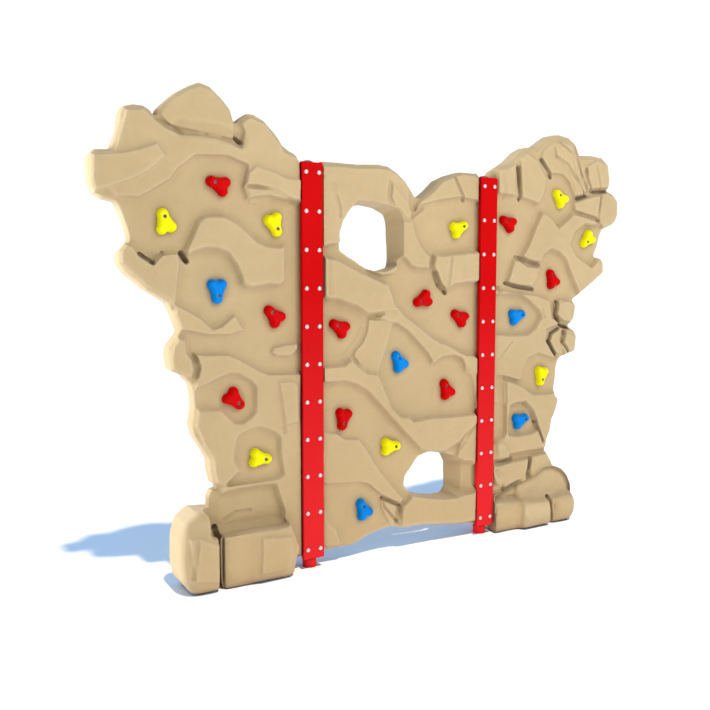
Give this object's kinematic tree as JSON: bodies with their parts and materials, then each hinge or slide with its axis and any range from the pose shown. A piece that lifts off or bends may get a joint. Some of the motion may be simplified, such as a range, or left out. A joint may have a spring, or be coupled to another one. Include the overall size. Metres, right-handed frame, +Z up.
{
  "type": "rock climbing wall",
  "caption": "Free-standing playground climbing wall: hollow moulded rock panels with through openings, joined at steel posts by bolted cover channels, with three-lobed bolt-on holds",
  "frame": {"origin": "centre of the wall's footprint, on the ground", "axes": "+X along the wall to the right as seen from the climbing side, -Y out of the climbing face towards the climber, +Z up"},
  "size_m": [3.44, 0.3, 2.502],
  "materials": {
    "rock_plastic": "roughcast sand-coloured moulded polyethylene with a fine grain",
    "red_steel": "glossy powder coat over galvanised steel",
    "cap_plastic": "weathered grey moulded cap",
    "bolt_steel": "bright plated steel",
    "insert_brass": "plain machined threaded insert",
    "red_plastic": "signal red cast resin, satin",
    "yellow_plastic": "sun yellow cast resin, satin",
    "blue_plastic": "sky blue cast resin, satin"
  },
  "bodies": {
    "root": {"left_panel": "rock_plastic", "centre_panel": "rock_plastic", "right_panel": "rock_plastic", "left_post": "red_steel", "left_post_foot": "red_steel", "left_post_cap": "cap_plastic", "left_front_channel": "red_steel", "left_back_channel": "red_steel", "left_seam_bolts": "bolt_steel", "left_seam_washers": "bolt_steel", "left_seam_nuts": "bolt_steel", "right_post": "red_steel", "right_post_foot": "red_steel", "right_post_cap": "cap_plastic", "right_front_channel": "red_steel", "right_back_channel": "red_steel", "right_seam_bolts": "bolt_steel", "right_seam_washers": "bolt_steel", "right_seam_nuts": "bolt_steel", "hold_bolts": "bolt_steel", "hold_inserts": "insert_brass", "hold_01_yellow": "yellow_plastic", "hold_02_blue": "blue_plastic", "hold_03_red": "red_plastic", "hold_04_red": "red_plastic", "hold_05_yellow": "yellow_plastic", "hold_06_red": "red_plastic", "hold_07_yellow": "yellow_plastic", "hold_08_red": "red_plastic", "hold_09_red": "red_plastic", "hold_10_blue": "blue_plastic", "hold_11_yellow": "yellow_plastic", "hold_12_blue": "blue_plastic", "hold_13_red": "red_plastic", "hold_14_red": "red_plastic", "hold_15_yellow": "yellow_plastic", "hold_16_red": "red_plastic", "hold_17_red": "red_plastic", "hold_18_blue": "blue_plastic", "hold_19_blue": "blue_plastic", "hold_20_yellow": "yellow_plastic", "hold_21_red": "red_plastic", "hold_22_yellow": "yellow_plastic", "hold_23_yellow": "yellow_plastic"}
  },
  "joints": []
}
